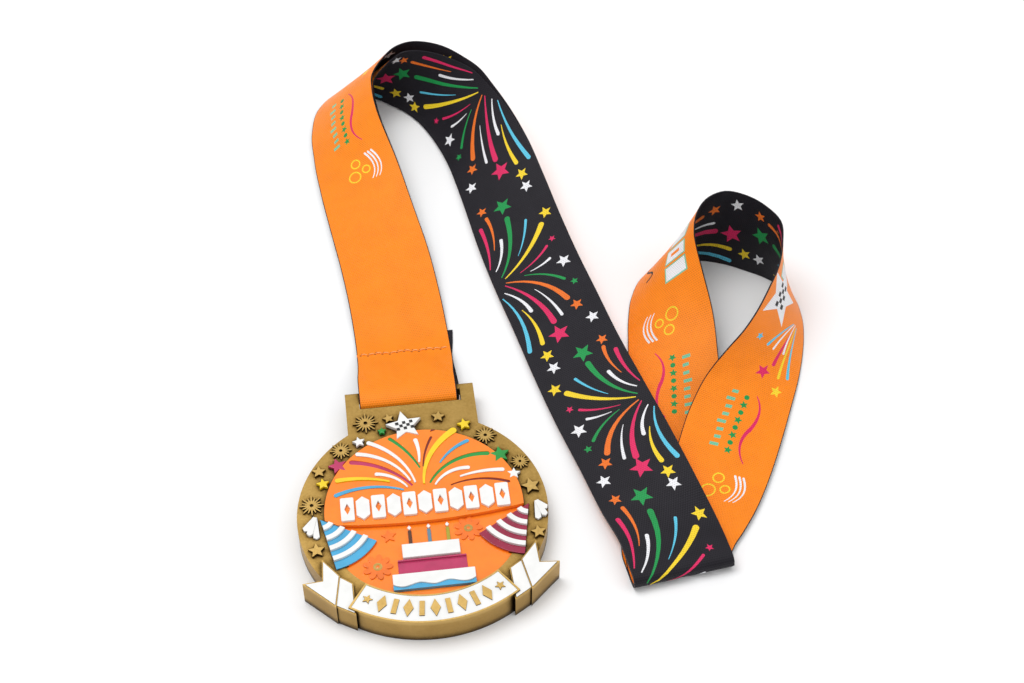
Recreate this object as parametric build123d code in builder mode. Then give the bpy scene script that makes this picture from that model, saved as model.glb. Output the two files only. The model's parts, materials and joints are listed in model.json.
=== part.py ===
from build123d import *
import math
import os

os.makedirs("parts", exist_ok=True)

# Sports finisher medal on a neck ribbon, laid out flat.  Millimetres, +Z up.
# The origin is the centre of the disc on its flat back face, and +Y points from
# the disc to the ribbon bar.

# ---------------------------------------------------------------- driving sizes
disc_radius = 30.5
face_z = 6.0                      # bare front face of the casting
tab_half_width = 16.5
tab_top_y = 39.4
tab_back_z = 3.2                  # the tab is thinner than the disc, flush in front
slot_half_length = 13.0
slot_low_y = 33.8
bar_width = 1.9                   # the bar that the ribbon hangs on
bar_corner = 0.5
bar_y = tab_top_y - bar_width / 2
bar_z = (face_z + tab_back_z) / 2

field_radius = 24.2               # the painted picture
field_x, field_y = 0.4, 0.35
sky_top_z = 6.8                   # raised upper field
pool_floor_z = 5.2                # recessed lower field
pool_top_z = 5.6
star_top_z = 6.9
emblem_top_z = 7.2

ribbon_width = 25.0
ribbon_thick = 0.4
doubled_thick = 1.1                # two layers lying loosely on each other
loop_radius = 2.1                 # centre line of the ribbon round the bar
seam_y = 56.9
seam_top_z = 1.24
shoulder_y = 41.4
flap_z = 0.5

enamel_depth = 0.35
stripe_gap_z = 6.4
proud_z = 7.1


def finish(builder, node):
    """Label a finished piece and write it as its own file."""
    builder.part.label = node
    export_step(builder.part, f"parts/{node}.step")


# ---------------------------------------------------------------- shapes to draw
def star(radius, turn=0.0):
    """A five-pointed star about the current location."""
    corners = []
    for k in range(10):
        reach = radius if k % 2 == 0 else radius * 0.46
        angle = math.radians(90 + turn + 36 * k)
        corners.append((reach * math.cos(angle), reach * math.sin(angle)))
    Polygon(*corners)


def sunburst(radius, spikes=16):
    """A ring with thin spikes round it, alternately long and short."""
    ring_radius = radius * 0.42
    for k in range(spikes):
        reach = radius if k % 2 == 0 else radius * 0.8
        with PolarLocations(0, 1, start_angle=360 * k / spikes):
            root = ring_radius - 0.14
            Polygon((root, -0.24), (reach, -0.11), (reach, 0.11), (root, 0.24))
    Circle(ring_radius)
    Circle(radius * 0.16, mode=Mode.SUBTRACT)


def ray(inner, middle, outer, narrow, wide):
    """A curved stroke from inner to outer that widens and ends round."""
    a, m, b = Vector(*inner), Vector(*middle), Vector(*outer)

    def side(p, q):
        along = (q - p).normalized()
        return Vector(-along.Y, along.X)

    na, nm, nb = side(a, m), side(a, b), side(m, b)
    half_middle = (narrow + wide) / 4
    with BuildLine() as outline:
        ThreePointArc(a + na * narrow / 2, m + nm * half_middle, b + nb * wide / 2)
        ThreePointArc(b + nb * wide / 2, b + (b - m).normalized() * wide / 2, b - nb * wide / 2)
        ThreePointArc(b - nb * wide / 2, m - nm * half_middle, a - na * narrow / 2)
        Line(a - na * narrow / 2, a + na * narrow / 2)
    make_face(outline.edges())


def sector_band(apex, start, end, near, far):
    """The band of a circular sector about apex between two radii, angles in degrees."""

    def at(radius, angle):
        rad = math.radians(angle)
        return (apex[0] + radius * math.cos(rad), apex[1] + radius * math.sin(rad))

    middle = (start + end) / 2
    with BuildLine() as outline:
        ThreePointArc(at(far, start), at(far, middle), at(far, end))
        if near > 0:
            Line(at(far, end), at(near, end))
            ThreePointArc(at(near, end), at(near, middle), at(near, start))
            Line(at(near, start), at(far, start))
        else:
            Line(at(far, end), apex)
            Line(apex, at(far, start))
    make_face(outline.edges())


# ---------------------------------------------------------------- places on the face
big_star = (-2.22, 26.3, 4.79, 8)
white_stars = [(-13.96, 22.6, 1.67, 10), (23.3, 7.99, 1.74, -6)]
green_stars = [(-7.99, 25.4, 1.18, 0), (20.6, 14.37, 2.57, 5)]
yellow_stars = [(-23.6, 10.49, 1.74, 6), (12.78, 25.1, 1.88, 8)]
pink_stars = [(-19.65, 15.62, 2.43, 14)]
bare_stars = [
    (-6.04, 29.4, 1.53, 12), (6.53, 28.5, 1.81, -8), (-24.4, 14.51, 1.81, 0),
    (-26.2, -9.1, 2.08, 4), (27.0, 3.82, 2.43, 10), (27.0, -10.14, 1.94, 4),
]
bare_bursts = [
    (-11.88, 28.7, 3.19), (-18.61, 20.6, 2.71), (-26.7, 4.44, 2.99),
    (17.71, 21.1, 2.85), (25.3, 11.74, 2.36),
]
diamond_centre = (5.07, 24.7)

left_hat = ((-24.9, 0), -78.5, -30.8, 15.28)
right_hat = ((25.8, -1.25), -150.0, -100.9, 15.0)
hat_steps = [0.0, 2.36, 3.68, 5.49, 6.81, 8.61, 9.93, 11.74, 13.06, 15.28]

white_rays = [
    ((-1.04, 7.99), (-5.0, 16.32), (-11.53, 21.7), 0.49, 1.18),
    ((-2.22, 8.68), (-7.29, 15.28), (-14.51, 18.47), 0.49, 1.18),
    ((-3.06, 6.81), (-5.83, 9.86), (-10.28, 11.67), 0.42, 1.04),
    ((0.42, 14.1), (0.62, 17.71), (0.14, 21.2), 0.49, 1.11),
    ((3.75, 6.67), (6.67, 9.72), (12.22, 10.97), 0.49, 1.11),
    ((10.0, 8.47), (15.14, 9.44), (20.6, 9.31), 0.49, 1.11),
]
yellow_rays = [
    ((1.04, 7.36), (3.33, 16.11), (9.79, 23.1), 0.56, 1.81),
    ((-7.29, 9.03), (-13.75, 10.69), (-20.0, 10.83), 0.49, 1.25),
]
blue_rays = [
    ((-4.03, 6.11), (-12.29, 7.92), (-20.6, 6.39), 0.49, 1.11),
    ((5.56, 13.4), (8.68, 16.94), (12.92, 19.44), 0.42, 1.04),
]
green_rays = [
    ((0.49, 12.5), (-2.22, 17.78), (-6.18, 22.5), 0.49, 1.04),
    ((2.5, 7.5), (8.06, 13.19), (17.43, 15.0), 0.56, 1.39),
]
pink_rays = [((-1.81, 7.29), (-8.33, 13.33), (-16.11, 16.25), 0.56, 1.39)]
dark_red_rays = [
    ((1.32, 12.78), (2.22, 17.36), (4.1, 21.8), 0.35, 0.69),
    ((7.5, 6.25), (14.79, 7.36), (21.7, 5.62), 0.42, 0.83),
]

banner_x, banner_y = 0.35, 1.5
banner_inner, banner_outer = 26.9, 34.6
banner_half_angle = 35.5
banner_rim = 0.4
banner_top_z = 7.4
left_tail = [(-25.1, -12.22), (-21.1, -17.5), (-22.5, -26.1), (-30.0, -18.68), (-25.4, -18.33)]
left_fold = [(-21.9, -16.81), (-18.19, -19.72), (-18.06, -28.5), (-22.8, -25.6)]
right_tail = [(26.0, -12.92), (21.7, -18.06), (23.2, -26.7), (30.8, -19.58), (26.2, -19.17)]
right_fold = [(22.5, -17.36), (18.75, -19.86), (19.03, -28.9), (23.5, -26.1)]
tail_top_z = 7.1
fold_top_z = 6.75

cake_x = 0.9
top_tier_y, pink_tier_y, low_tier_y = -12.0, -16.25, -20.6
pink_z = 5.85
word_blocks = 11
word_pitch = 3.78
word_centre = (0.76, 1.53)
word_height = 6.8
word_width = 3.26


def word_block(index):
    """One of two plain ornament blocks: a pierced bar or a long hexagon."""
    half_w, half_h = word_width / 2, word_height / 2
    if index % 2 == 0:
        RectangleRounded(word_width, word_height, 0.4)
        Polygon((0, -1.7), (0.76, 0), (0, 1.7), (-0.76, 0), mode=Mode.SUBTRACT)
    else:
        Polygon(
            (0, -half_h), (half_w, -half_h + 1.3), (half_w, half_h - 1.3),
            (0, half_h), (-half_w, half_h - 1.3), (-half_w, -half_h + 1.3),
        )


flower_places = [(10.4, -6.6, 3.6), (-12.1, -15.2, 3.7)]


def draw_stars(places):
    for x, y, radius, turn in places:
        with Locations((x, y)):
            star(radius, turn)


def draw_rays(rays):
    for inner, middle, outer, narrow, wide in rays:
        ray(inner, middle, outer, narrow, wide)


def below_ridge():
    """The half of the picture below the ridge under the ornament band."""
    with BuildLine() as outline:
        ThreePointArc((-28, -1.4), (0, -3.7), (28, -0.8))
        Polyline((28, -0.8), (28, -35), (-28, -35), (-28, -1.4))
    make_face(outline.edges())


def draw_hat(hat):
    sector_band(hat[0], hat[1], hat[2], 0, hat[3])


def draw_banner_centre():
    sector_band(
        (banner_x, banner_y), -90 - banner_half_angle, -90 + banner_half_angle,
        banner_inner, banner_outer,
    )


def draw_banner():
    """The footprint of the banner: its centre, folds and tails."""
    draw_banner_centre()
    for outline in (left_tail, left_fold, right_tail, right_fold):
        Polygon(*outline)


def draw_flower_rings():
    """The bare metal ring at the heart of each flower."""
    for x, y, radius in flower_places:
        with Locations((x, y)):
            Circle(radius * 0.3)
            Circle(radius * 0.12, mode=Mode.SUBTRACT)


def draw_upper_field():
    """The raised upper field, open where hats, stars and emblem stand in it."""
    with Locations((field_x, field_y)):
        Circle(field_radius)
    with BuildSketch(mode=Mode.PRIVATE) as cut:
        below_ridge()
        draw_hat(left_hat)
        draw_hat(right_hat)
        draw_stars([big_star] + white_stars + green_stars + pink_stars)
    add(cut.sketch, mode=Mode.SUBTRACT)


def draw_lower_field():
    """The recessed lower field, down to the banner."""
    with Locations((field_x, field_y - 1.4)):
        Circle(field_radius)
    with BuildSketch(mode=Mode.PRIVATE) as keep:
        below_ridge()
    add(keep.sketch, mode=Mode.INTERSECT)
    with BuildSketch(mode=Mode.PRIVATE) as cut:
        draw_hat(left_hat)
        draw_hat(right_hat)
        draw_banner()
        draw_flower_rings()
    add(cut.sketch, mode=Mode.SUBTRACT)


def banner_ornaments():
    """Raised lozenges along the banner with a small star at each end."""
    middle_radius = (banner_inner + banner_outer) / 2
    with Locations((banner_x, banner_y)):
        for k in range(-4, 5):
            with PolarLocations(middle_radius, 1, start_angle=-90 + k * 5.9):
                if k % 2 == 0:
                    Polygon((-2.4, 0), (0, -1.2), (2.4, 0), (0, 1.2))
                else:
                    Rectangle(4.0, 1.24)
        for end in (-1, 1):
            with PolarLocations(middle_radius, 1, start_angle=-90 + end * 30.4):
                star(1.3, 90)


def draw_cake():
    with Locations((cake_x, top_tier_y)):
        Rectangle(13.8, 3.9)
    with Locations((cake_x, pink_tier_y)):
        Rectangle(16.4, 4.0)
    with Locations((cake_x, low_tier_y)):
        Rectangle(19.6, 4.2)


# ---------------------------------------------------------------- the casting
with BuildPart() as medal_casting:
    with BuildSketch():
        Circle(disc_radius)
        draw_banner()
    extrude(amount=face_z)
    with BuildSketch(Plane.XY.offset(tab_back_z)):
        with Locations((0, (25 + tab_top_y) / 2)):
            Rectangle(2 * tab_half_width, tab_top_y - 25)
    extrude(amount=face_z - tab_back_z)
    # the ribbon slot, and the rounded bar above it
    with BuildSketch(Plane.XY.offset(tab_back_z - 1)):
        with Locations((0, (slot_low_y + tab_top_y - bar_width) / 2)):
            Rectangle(2 * slot_half_length, tab_top_y - bar_width - slot_low_y)
    extrude(amount=face_z - tab_back_z + 2, mode=Mode.SUBTRACT)
    straight = medal_casting.edges().filter_by(Axis.X)
    bar_edges = straight.filter_by_position(Axis.Y, bar_y - bar_width * 0.6, bar_y + bar_width * 0.6)
    fillet(bar_edges, bar_corner)
    # banner slabs above the face
    with BuildSketch(Plane.XY.offset(face_z)):
        for outline in (left_fold, right_fold):
            Polygon(*outline)
    extrude(amount=fold_top_z - face_z)
    with BuildSketch(Plane.XY.offset(face_z)):
        for outline in (left_tail, right_tail):
            Polygon(*outline)
    extrude(amount=tail_top_z - face_z)
    with BuildSketch(Plane.XY.offset(face_z)):
        draw_banner_centre()
    extrude(amount=banner_top_z - face_z)
    # pocket of the lower field, with the cake standing in it
    with BuildSketch(Plane.XY.offset(pool_floor_z)):
        draw_lower_field()
    extrude(amount=face_z - pool_floor_z, mode=Mode.SUBTRACT)
    # bare relief on the rim
    with BuildSketch(Plane.XY.offset(face_z)):
        draw_stars(bare_stars)
    extrude(amount=0.65)
    for x, y, radius in bare_bursts:
        with BuildSketch(Plane.XY.offset(face_z)):
            with Locations((x, y)):
                sunburst(radius)
        extrude(amount=0.5)
    # pockets in the banner, left open round its raised ornaments
    with BuildSketch(Plane.XY.offset(banner_top_z - enamel_depth)):
        sector_band(
            (banner_x, banner_y), -90 - banner_half_angle + 0.9, -90 + banner_half_angle - 0.9,
            banner_inner + banner_rim, banner_outer - banner_rim,
        )
    extrude(amount=enamel_depth, mode=Mode.SUBTRACT)

    with BuildSketch(Plane.XY.offset(banner_top_z - enamel_depth)):
        banner_ornaments()
    extrude(amount=enamel_depth + 0.2)
finish(medal_casting, "medal_casting")


# ---------------------------------------------------------------- enamels of the banner
with BuildPart() as banner_enamel:
    with BuildSketch(Plane.XY.offset(banner_top_z - enamel_depth)):
        sector_band(
            (banner_x, banner_y), -90 - banner_half_angle + 0.9, -90 + banner_half_angle - 0.9,
            banner_inner + banner_rim, banner_outer - banner_rim,
        )
        with BuildSketch(mode=Mode.PRIVATE) as raised:
            banner_ornaments()
        add(raised.sketch, mode=Mode.SUBTRACT)
    extrude(amount=enamel_depth - 0.08)
finish(banner_enamel, "banner_enamel")

for node, outlines, top in (
    ("banner_tail_enamel", (left_tail, right_tail), tail_top_z),
    ("banner_fold_enamel", (left_fold, right_fold), fold_top_z),
):
    with BuildPart() as skin:
        with BuildSketch(Plane.XY.offset(top)):
            for outline in outlines:
                Polygon(*outline)
            offset(amount=-0.3, kind=Kind.INTERSECTION)
            if top == fold_top_z:
                with BuildSketch(mode=Mode.PRIVATE) as over:
                    draw_banner_centre()
                    Polygon(*left_tail)
                    Polygon(*right_tail)
                add(over.sketch, mode=Mode.SUBTRACT)
        extrude(amount=0.18)
    finish(skin, node)


# ---------------------------------------------------------------- the two orange fields
recessed_rays = green_rays + pink_rays + dark_red_rays
groove_z = sky_top_z - 0.35

with BuildPart() as upper_field_enamel:
    with BuildSketch(Plane.XY.offset(face_z)):
        draw_upper_field()
    extrude(amount=sky_top_z - face_z)
    with BuildSketch(Plane.XY.offset(groove_z)):
        draw_rays(recessed_rays)
    extrude(amount=1.0, mode=Mode.SUBTRACT)
finish(upper_field_enamel, "upper_field_enamel")

with BuildPart() as lower_field_enamel:
    with BuildSketch(Plane.XY.offset(pool_floor_z)):
        draw_lower_field()
        with BuildSketch(mode=Mode.PRIVATE) as tiers:
            draw_cake()
        add(tiers.sketch, mode=Mode.SUBTRACT)
    extrude(amount=pool_top_z - pool_floor_z)
finish(lower_field_enamel, "lower_field_enamel")

with BuildPart() as painted_flowers:
    with BuildSketch(Plane.XY.offset(pool_top_z)):
        for x, y, radius in flower_places:
            with Locations((x, y)):
                with PolarLocations(radius * 0.64, 9):
                    Ellipse(radius * 0.34, radius * 0.2)
                Circle(radius * 0.46)
        with Locations((-8.8, -6.6)):
            star(1.9, 6)
        with BuildSketch(mode=Mode.PRIVATE) as room:
            draw_lower_field()
        add(room.sketch, mode=Mode.INTERSECT)
    extrude(amount=0.35)
finish(painted_flowers, "painted_flowers")

# ---------------------------------------------------------------- firework rays
for node, rays, low, top in (
    ("rays_white", white_rays, sky_top_z, proud_z),
    ("rays_yellow", yellow_rays, sky_top_z, proud_z),
    ("rays_blue", blue_rays, sky_top_z, proud_z - 0.07),
    ("rays_green", green_rays, groove_z, sky_top_z - 0.14),
    ("rays_pink", pink_rays, groove_z, sky_top_z - 0.18),
    ("rays_dark_red", dark_red_rays, groove_z, sky_top_z - 0.18),
):
    with BuildPart() as strokes:
        with BuildSketch(Plane.XY.offset(low)):
            draw_rays(rays)
            if low == sky_top_z:
                with BuildSketch(mode=Mode.PRIVATE) as grooves:
                    draw_rays(recessed_rays)
                add(grooves.sketch, mode=Mode.SUBTRACT)
        extrude(amount=top - low)
    finish(strokes, node)

# ---------------------------------------------------------------- stars and emblem
for node, places in (
    ("stars_white", white_stars),
    ("stars_green", green_stars),
    ("stars_yellow", yellow_stars),
    ("stars_pink", pink_stars),
):
    with BuildPart() as group:
        with BuildSketch(Plane.XY.offset(face_z)):
            draw_stars(places)
        extrude(amount=star_top_z - face_z)
    finish(group, node)

with BuildPart() as emblem_star:
    with BuildSketch(Plane.XY.offset(face_z)):
        draw_stars([big_star])
    extrude(amount=emblem_top_z - face_z)
finish(emblem_star, "emblem_star")

with BuildPart() as emblem_chequer:
    with BuildSketch(Plane.XY.offset(emblem_top_z)):
        with Locations(Location((big_star[0] + 0.07, big_star[1] - 0.14, 0), (0, 0, 8))):
            for row in range(3):
                for column in range(5):
                    if (row + column) % 2 == 0:
                        with Locations(((column - 2) * 0.9, (row - 1) * 0.9)):
                            Rectangle(0.84, 0.84)
    extrude(amount=0.1)
finish(emblem_chequer, "emblem_chequer")

with BuildPart() as spark:
    with BuildSketch(Plane.XY.offset(sky_top_z)):
        with Locations(diamond_centre):
            Polygon((-1.04, -1.11), (0.21, -0.76), (0.97, 0.21), (-0.28, 0.14))
        with Locations((field_x, field_y)):
            Circle(field_radius, mode=Mode.INTERSECT)
    extrude(amount=0.2)
finish(spark, "spark_dark_red")

# ---------------------------------------------------------------- ornament band
with BuildPart() as ornament_band:
    with BuildSketch(Plane.XY.offset(sky_top_z)):
        for k in range(word_blocks):
            with BuildSketch(mode=Mode.PRIVATE) as block:
                word_block(k)
            with Locations((word_centre[0] + (k - 5) * word_pitch, word_centre[1])):
                add(block.sketch)
    extrude(amount=0.7)
finish(ornament_band, "ornament_band")

# ---------------------------------------------------------------- party hats
for side, hat in (("left", left_hat), ("right", right_hat)):
    for kind, first, top in (("stripes_recessed", 0, stripe_gap_z), ("stripes_raised", 1, proud_z)):
        with BuildPart() as stripes:
            with BuildSketch(Plane.XY.offset(face_z)):
                for k in range(first, 9, 2):
                    sector_band(hat[0], hat[1], hat[2], hat_steps[k], min(hat_steps[k + 1], hat[3]))
            extrude(amount=top - face_z)
        finish(stripes, f"hat_{side}_{kind}")

tassels = (
    ((-26.1, 0.6), ((-28.6, -2.6), (-27.6, -4.2), (-26.0, -5.2))),
    ((27.7, -0.9), ((29.7, -3.0), (29.2, -5.2), (27.5, -5.9))),
)


def tassel(root, ends):
    """Cloth strips that fan out from the tip of a hat."""
    for end in ends:
        start, tip = Vector(*root), Vector(*end)
        along = (tip - start).normalized()
        side = Vector(-along.Y, along.X)
        Polygon(
            start + side * 0.5, start - side * 0.5, tip - side * 0.75,
            tip + along * 0.5, tip + side * 0.75,
        )


with BuildPart() as hat_tassels:
    for height in (0.55, 0.8):
        with BuildSketch(Plane.XY.offset(face_z)):
            for root, ends in tassels:
                tassel(root, ends if height < 0.6 else ends[1:2])
        extrude(amount=height)
finish(hat_tassels, "hat_tassels")

# ---------------------------------------------------------------- cake and candles
wave_half, wave_low_y, wave_y, wave_rise = 9.8, -22.7, -21.65, 0.38


def draw_wave():
    """The icing below a wavy line."""
    crests = [(cake_x + wave_half * (k / 3 - 1), wave_y + wave_rise * (-1) ** k) for k in range(7)]
    with BuildLine() as outline:
        Spline(*crests)
        Polyline(crests[-1], (cake_x + wave_half, wave_low_y), (cake_x - wave_half, wave_low_y), crests[0])
    make_face(outline.edges())


with BuildPart() as cake_white_tiers:
    with BuildSketch(Plane.XY.offset(pool_floor_z)):
        with Locations((cake_x, top_tier_y)):
            Rectangle(13.8, 3.9)
        with Locations((cake_x, low_tier_y)):
            Rectangle(19.6, 4.2)
        with BuildSketch(mode=Mode.PRIVATE) as icing:
            draw_wave()
        add(icing.sketch, mode=Mode.SUBTRACT)
    extrude(amount=proud_z - 0.2 - pool_floor_z)
finish(cake_white_tiers, "cake_white_tiers")

with BuildPart() as cake_pink_tier:
    with BuildSketch(Plane.XY.offset(pool_floor_z)):
        with Locations((cake_x, pink_tier_y)):
            Rectangle(16.4, 4.0)
    extrude(amount=pink_z - pool_floor_z)
    with BuildSketch(Plane.XY.offset(pink_z)):
        with Locations((cake_x, pink_tier_y + 1.8), (cake_x, pink_tier_y - 1.8)):
            Rectangle(16.4, 0.4)
    extrude(amount=0.6)
finish(cake_pink_tier, "cake_pink_tier")

with BuildPart() as cake_icing:
    with BuildSketch(Plane.XY.offset(pool_floor_z)):
        draw_wave()
    extrude(amount=6.5 - pool_floor_z)
finish(cake_icing, "cake_icing")

candle_places = (("candle_brown", -3.75), ("candle_blue", 0.9), ("candle_olive", 5.42))
for node, x in candle_places:
    with BuildPart() as candle:
        with BuildSketch(Plane.XY.offset(pool_top_z)):
            with Locations((x, -7.8)):
                Rectangle(0.85, 4.5)
        extrude(amount=0.4)
    finish(candle, node)

with BuildPart() as candle_flames:
    with BuildSketch(Plane.XY.offset(pool_top_z)):
        with Locations(*[(x, -5.35) for _, x in candle_places]):
            Polygon((0, -0.1), (0.5, 0.5), (0, 1.2), (-0.5, 0.5))
    extrude(amount=0.55)
finish(candle_flames, "candle_flames")

# ---------------------------------------------------------------- ribbon round the bar
with BuildPart() as ribbon_slot_loop:
    with BuildSketch(Plane.YZ.offset(-ribbon_width / 2)) as side_view:
        with BuildLine() as centre:
            top, low = bar_z + loop_radius, bar_z - loop_radius
            Line((seam_y - ribbon_thick / 2, seam_top_z), (shoulder_y, top))
            Line((shoulder_y, top), (bar_y, top))
            ThreePointArc((bar_y, top), (bar_y - loop_radius, bar_z), (bar_y, low))
            Line((bar_y, low), (shoulder_y - 0.7, low))
            Line((shoulder_y - 0.7, low), (46.6, flap_z))
            Line((46.6, flap_z), (seam_y - ribbon_thick / 2, flap_z))
            offset(amount=ribbon_thick / 2, side=Side.BOTH)
        make_face()
    extrude(amount=ribbon_width)
finish(ribbon_slot_loop, "ribbon_slot_loop")

# ---------------------------------------------------------------- ribbon runs
# Each station is the edge that lies on the table and the edge that is raised,
# given as points of the ribbon's middle layer.
rise = [
    ((-12.5, 56.9, 0.9), (12.5, 56.9, 0.9)),
    ((-13.19, 72.9, 0.9), (11.67, 73.6, 2.08)),
    ((-14.58, 88.2, 0.9), (10.07, 89.6, 4.17)),
    ((-16.67, 104.9, 0.9), (7.29, 106.2, 6.25)),
    ((-18.4, 120.1, 0.9), (4.17, 121.5, 10.42)),
    ((-19.44, 134.7, 0.9), (0.0, 137.5, 15.97)),
    ((-19.44, 146.5, 0.9), (-0.69, 145.8, 17.36)),
]
top_bend = [
    rise[-1],
    ((-17.01, 156.9, 0.9), (0.0, 151.4, 18.06)),
    ((-11.81, 163.2, 0.9), (2.78, 154.9, 19.79)),
    ((-6.25, 164.6, 0.9), (6.25, 157.6, 21.5)),
    ((-0.49, 161.8, 0.9), (10.42, 158.3, 22.9)),
    ((4.86, 157.6, 0.9), (15.28, 157.6, 23.3)),
    ((9.72, 152.8, 0.9), (21.5, 154.9, 22.9)),
    ((12.85, 147.9, 0.9), (26.4, 152.1, 21.2)),
    ((15.28, 142.4, 0.9), (30.6, 147.9, 20.1)),
    ((17.36, 136.1, 0.9), (34.0, 142.4, 18.06)),
    ((19.1, 129.2, 0.9), (37.5, 135.4, 15.97)),
    ((20.8, 118.8, 0.9), (41.7, 124.3, 12.85)),
]
diagonal = [
    top_bend[-1],
    ((22.4, 106.2, 0.9), (44.8, 111.1, 10.07)),
    ((24.0, 93.1, 0.9), (47.2, 97.2, 8.68)),
    ((26.7, 76.4, 0.9), (50.0, 80.6, 8.33)),
    ((29.9, 60.4, 0.9), (53.1, 64.6, 8.33)),
    ((33.0, 43.8, 0.9), (56.2, 48.6, 8.33)),
    ((36.5, 27.1, 0.97), (60.1, 31.9, 8.33)),
    ((40.3, 11.11, 1.67), (63.9, 15.97, 8.33)),
    ((43.4, -3.47, 2.92), (67.4, 1.39, 7.29)),
    ((46.5, -15.28, 3.89), (71.2, -12.01, 3.89)),
]
right_strand = [
    ((71.5, -13.4, 1.11), (46.7, -16.67, 1.11)),
    ((79.9, -9.03, 1.11), (56.9, -1.39, 1.81)),
    ((86.8, 2.08, 1.11), (64.6, 11.81, 4.17)),
    ((92.4, 13.19, 1.11), (70.1, 22.9, 6.25)),
    ((97.2, 23.6, 0.97), (75.7, 30.6, 9.72)),
    ((102.1, 34.7, 0.83), (81.9, 35.4, 13.89)),
    ((104.9, 42.4, 0.69), (86.8, 38.9, 16.67)),
    ((106.9, 49.3, 0.69), (91.0, 43.1, 19.1)),
]
neck_back = [
    right_strand[-1],
    ((108.0, 56.2, 0.69), (95.5, 49.3, 21.2)),
    ((107.6, 63.2, 0.69), (99.3, 55.6, 22.6)),
    ((105.2, 68.1, 0.69), (101.4, 61.8, 24.0)),
    ((101.7, 71.9, 0.69), (102.4, 68.1, 25.0)),
    ((96.9, 75.3, 0.69), (99.3, 75.0, 25.3)),
    ((91.0, 78.8, 0.69), (94.4, 79.9, 25.3)),
    ((84.7, 80.9, 0.69), (89.6, 81.6, 25.3)),
    ((78.5, 81.2, 0.69), (84.4, 79.5, 25.0)),
    ((72.2, 79.5, 0.69), (81.2, 75.7, 23.6)),
    ((67.0, 75.3, 0.69), (79.9, 71.5, 21.5)),
    ((63.5, 68.8, 0.69), (79.9, 67.4, 19.44)),
    ((61.5, 61.8, 0.69), (80.6, 61.8, 16.32)),
]
left_strand = [
    neck_back[-1],
    ((59.7, 52.1, 0.62), (81.9, 52.1, 10.42)),
    ((58.0, 41.7, 0.56), (81.2, 39.6, 6.25)),
    ((55.6, 29.2, 0.42), (79.9, 27.1, 2.78)),
    ((52.4, 12.5, 0.42), (77.1, 11.81, 0.83)),
    ((49.3, -3.47, 0.42), (74.3, -2.08, 0.42)),
    ((46.7, -16.67, 0.42), (71.5, -13.4, 0.42)),
]


fold_across = Vector(24.7, 3.27, 0).normalized()
fold_forward = Vector(fold_across.Y, -fold_across.X, 0)


def station_planes(stations, first_along, last_along):
    """A plane across the ribbon at each station, its X along the ribbon's width."""
    middles = [(Vector(*a) + Vector(*b)) / 2 for a, b in stations]
    planes = []
    for k, (a, b) in enumerate(stations):
        across = (Vector(*b) - Vector(*a)).normalized()
        if k == 0:
            along = first_along
        elif k == len(stations) - 1:
            along = last_along
        else:
            along = middles[k + 1] - middles[k - 1]
        along = (along - across * along.dot(across)).normalized()
        planes.append(Plane(origin=middles[k], x_dir=across, z_dir=along))
    return planes


def strand(planes, thickness):
    """A ribbon run: flat sections on the planes, joined by straight spans."""
    with BuildPart() as run:
        for plane in planes:
            with BuildSketch(plane):
                Rectangle(ribbon_width, thickness)
        loft(ruled=True)
    return run


doubled_route = rise + top_bend[1:] + diagonal[1:]
neck_route = right_strand + neck_back[1:] + left_strand[1:]
doubled_planes = station_planes(doubled_route, Vector(0, 1, 0), fold_forward)
neck_planes = station_planes(neck_route, -fold_forward, fold_forward)
bend_at = len(rise) - 1
diagonal_at = bend_at + len(top_bend) - 1
back_at = len(right_strand) - 1
left_at = back_at + len(neck_back) - 1

for node, planes, thickness in (
    ("ribbon_rise", doubled_planes[:bend_at + 1], doubled_thick),
    ("ribbon_top_bend", doubled_planes[bend_at:diagonal_at + 1], doubled_thick),
    ("ribbon_diagonal", doubled_planes[diagonal_at:], doubled_thick),
    ("ribbon_right_strand", neck_planes[:back_at + 1], ribbon_thick),
    ("ribbon_neck_back", neck_planes[back_at:left_at + 1], ribbon_thick),
    ("ribbon_left_strand", neck_planes[left_at:], ribbon_thick),
):
    finish(strand(planes, thickness), node)
    length = sum((q.origin - p.origin).length for p, q in zip(planes, planes[1:]))
    print(f"{node}: {length:.0f} mm long")

# ---------------------------------------------------------------- the fold under
fold_start = Vector(46.5, -15.28, 0)
with BuildPart() as ribbon_fold:
    with BuildSketch(Plane(origin=fold_start, x_dir=fold_forward, z_dir=-fold_across)):
        with BuildLine():
            Line((doubled_thick / 2, 3.9), (7.6, 3.9))
            ThreePointArc((7.6, 3.9), (9.17, 2.33), (7.6, 0.76))
            Line((7.6, 0.76), (1.4 + doubled_thick / 2, 0.76))
            offset(amount=doubled_thick / 2, side=Side.BOTH)
        make_face()
    extrude(amount=-ribbon_width)
finish(ribbon_fold, "ribbon_fold")

# ---------------------------------------------------------------- seam
stitches = 12
stitch_y = seam_y - 1.1
slope = Vector(0, seam_y - shoulder_y, seam_top_z - bar_z - loop_radius).normalized()
layer_up = Vector(0, -slope.Z, slope.Y)
layer_point = Vector(0, stitch_y, seam_top_z + (stitch_y - seam_y) * slope.Z / slope.Y)
with BuildPart() as seam_stitches:
    with BuildSketch(Plane(origin=layer_point + layer_up * 0.21, x_dir=(1, 0, 0), z_dir=layer_up)):
        with GridLocations(23.0 / stitches, 1, stitches, 1):
            RectangleRounded(1.45, 0.34, 0.16)
    extrude(amount=0.2)
finish(seam_stitches, "seam_stitches")
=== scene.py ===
import json
import math

import bpy
import numpy as np
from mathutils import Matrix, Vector
from mathutils.geometry import delaunay_2d_cdt


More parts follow.
